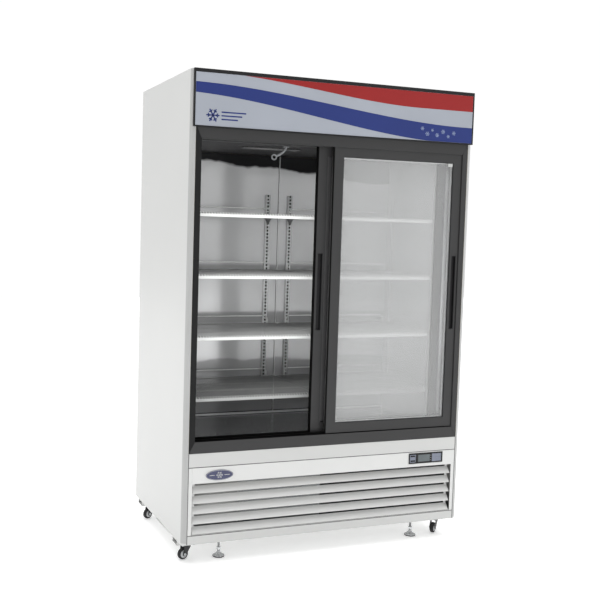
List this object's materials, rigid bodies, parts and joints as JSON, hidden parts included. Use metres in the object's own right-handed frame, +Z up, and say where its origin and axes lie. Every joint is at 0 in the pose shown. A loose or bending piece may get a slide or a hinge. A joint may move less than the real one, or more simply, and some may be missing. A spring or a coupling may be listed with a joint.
{
  "type": "glass door merchandiser",
  "caption": "Upright refrigerated merchandiser with two sliding glass doors, wire shelves, a lit header, a louvred machine bay, levelling feet and swivel casters.",
  "frame": {"origin": "on the floor, at the middle of the footprint (the bottom centre of the bounding box)", "axes": "+X to the right as seen from the front, +Y from the front to the back, +Z up"},
  "size_m": [1.382, 0.793, 2.11],
  "materials": {
    "white_steel": "satin",
    "fin_aluminium": "satin",
    "galvanised_steel": "satin",
    "stainless_liner": "polished",
    "foam_core": "matte",
    "dark_extrusion": "satin",
    "black_plastic": "satin",
    "door_glass": "gloss",
    "white_wire": "satin",
    "grey_plastic": "satin",
    "sign_face": "gloss",
    "lamp_white": "gloss",
    "badge_navy": "gloss",
    "black_paint": "satin",
    "caster_tread": "matte",
    "chrome_foot": "polished"
  },
  "bodies": {
    "cabinet": {"side_panel_left": "white_steel", "side_panel_right": "white_steel", "top_panel": "white_steel", "back_panel": "galvanised_steel", "cord_gland": "black_plastic", "insulation": "foam_core", "liner_left": "stainless_liner", "liner_right": "stainless_liner", "liner_back": "stainless_liner", "liner_floor": "stainless_liner", "pilaster_left": "galvanised_steel", "pilaster_right": "galvanised_steel", "centre_post": "galvanised_steel", "shelf_left_1": "white_wire", "shelf_left_2": "white_wire", "shelf_left_3": "white_wire", "shelf_left_4": "white_wire", "shelf_right_1": "white_wire", "shelf_right_2": "white_wire", "shelf_right_3": "white_wire", "shelf_right_4": "white_wire", "jamb_left": "dark_extrusion", "jamb_right": "dark_extrusion", "top_track": "dark_extrusion", "bottom_track": "dark_extrusion", "evaporator_cover": "galvanised_steel", "evaporator_coil": "fin_aluminium", "ceiling_hook": "grey_plastic", "header_housing": "black_plastic", "header_panel": "sign_face", "header_lamp": "lamp_white", "sill_panel": "white_steel", "grille_panel": "white_steel", "badge": "badge_navy", "controller": "black_plastic", "base_frame": "white_steel", "compressor": "black_paint", "condenser_coil": "fin_aluminium"},
    "door_left": {"door_left_frame": "dark_extrusion", "door_left_glass": "door_glass", "door_left_pull": "black_plastic"},
    "evaporator_fan_left": {"evaporator_fan_left": "grey_plastic"},
    "leveller_left": {"leveller_left": "chrome_foot"},
    "door_right": {"door_right_frame": "dark_extrusion", "door_right_glass": "door_glass", "door_right_pull": "black_plastic"},
    "evaporator_fan_right": {"evaporator_fan_right": "grey_plastic"},
    "leveller_right": {"leveller_right": "chrome_foot"},
    "condenser_fan": {"condenser_fan": "grey_plastic"},
    "key_set": {"key_set": "grey_plastic"},
    "key_up": {"key_up": "grey_plastic"},
    "key_down": {"key_down": "grey_plastic"},
    "caster_fork_front_left": {"caster_fork_front_left": "black_paint"},
    "caster_wheel_front_left": {"caster_wheel_front_left": "caster_tread"},
    "caster_fork_front_right": {"caster_fork_front_right": "black_paint"},
    "caster_wheel_front_right": {"caster_wheel_front_right": "caster_tread"},
    "caster_fork_rear_left": {"caster_fork_rear_left": "black_paint"},
    "caster_wheel_rear_left": {"caster_wheel_rear_left": "caster_tread"},
    "caster_fork_rear_right": {"caster_fork_rear_right": "black_paint"},
    "caster_wheel_rear_right": {"caster_wheel_rear_right": "caster_tread"}
  },
  "joints": [
    {"name": "door_left_slide", "type": "slide", "parent": "cabinet", "child": "door_left", "axis": [1, 0, 0], "range_m": [-0.56, 0]},
    {"name": "door_right_slide", "type": "slide", "parent": "cabinet", "child": "door_right", "axis": [1, 0, 0], "range_m": [-0.56, 0]},
    {"name": "evaporator_fan_left_spin", "type": "hinge", "parent": "cabinet", "child": "evaporator_fan_left", "pos_m": [-0.215, -0.0195, 1.941], "axis": [0, 1, 0], "continuous": true},
    {"name": "evaporator_fan_right_spin", "type": "hinge", "parent": "cabinet", "child": "evaporator_fan_right", "pos_m": [0.215, -0.0195, 1.941], "axis": [0, 1, 0], "continuous": true},
    {"name": "condenser_fan_spin", "type": "hinge", "parent": "cabinet", "child": "condenser_fan", "pos_m": [-0.215, -0.2075, 0.25], "axis": [0, 1, 0], "continuous": true},
    {"name": "key_set_press", "type": "slide", "parent": "cabinet", "child": "key_set", "axis": [0, 1, 0], "range_m": [0, 0.0015], "stiffness_N_per_m": 600},
    {"name": "key_up_press", "type": "slide", "parent": "cabinet", "child": "key_up", "axis": [0, 1, 0], "range_m": [0, 0.0015], "stiffness_N_per_m": 600},
    {"name": "key_down_press", "type": "slide", "parent": "cabinet", "child": "key_down", "axis": [0, 1, 0], "range_m": [0, 0.0015], "stiffness_N_per_m": 600},
    {"name": "caster_front_left_swivel", "type": "hinge", "parent": "cabinet", "child": "caster_fork_front_left", "pos_m": [-0.636, -0.2835, 0.06], "axis": [0, 0, 1], "continuous": true},
    {"name": "caster_front_left_roll", "type": "hinge", "parent": "caster_fork_front_left", "child": "caster_wheel_front_left", "pos_m": [-0.65479, -0.29034, 0.025], "axis": [-0.342, 0.9397, 0], "continuous": true},
    {"name": "caster_front_right_swivel", "type": "hinge", "parent": "cabinet", "child": "caster_fork_front_right", "pos_m": [0.636, -0.2835, 0.06], "axis": [0, 0, 1], "continuous": true},
    {"name": "caster_front_right_roll", "type": "hinge", "parent": "caster_fork_front_right", "child": "caster_wheel_front_right", "pos_m": [0.62068, -0.29636, 0.025], "axis": [-0.6428, 0.766, 0], "continuous": true},
    {"name": "caster_rear_left_swivel", "type": "hinge", "parent": "cabinet", "child": "caster_fork_rear_left", "pos_m": [-0.636, 0.3065, 0.06], "axis": [0, 0, 1], "continuous": true},
    {"name": "caster_rear_left_roll", "type": "hinge", "parent": "caster_fork_rear_left", "child": "caster_wheel_rear_left", "pos_m": [-0.65366, 0.29711, 0.025], "axis": [-0.4695, 0.8829, 0], "continuous": true},
    {"name": "caster_rear_right_swivel", "type": "hinge", "parent": "cabinet", "child": "caster_fork_rear_right", "pos_m": [0.636, 0.3065, 0.06], "axis": [0, 0, 1], "continuous": true},
    {"name": "caster_rear_right_roll", "type": "hinge", "parent": "caster_fork_rear_right", "child": "caster_wheel_rear_right", "pos_m": [0.62453, 0.32288, 0.025], "axis": [0.8192, 0.5736, 0], "continuous": true},
    {"name": "leveller_left_screw", "type": "slide", "parent": "cabinet", "child": "leveller_left", "axis": [0, 0, 1], "range_m": [0, 0.02]},
    {"name": "leveller_right_screw", "type": "slide", "parent": "cabinet", "child": "leveller_right", "axis": [0, 0, 1], "range_m": [0, 0.02]}
  ]
}
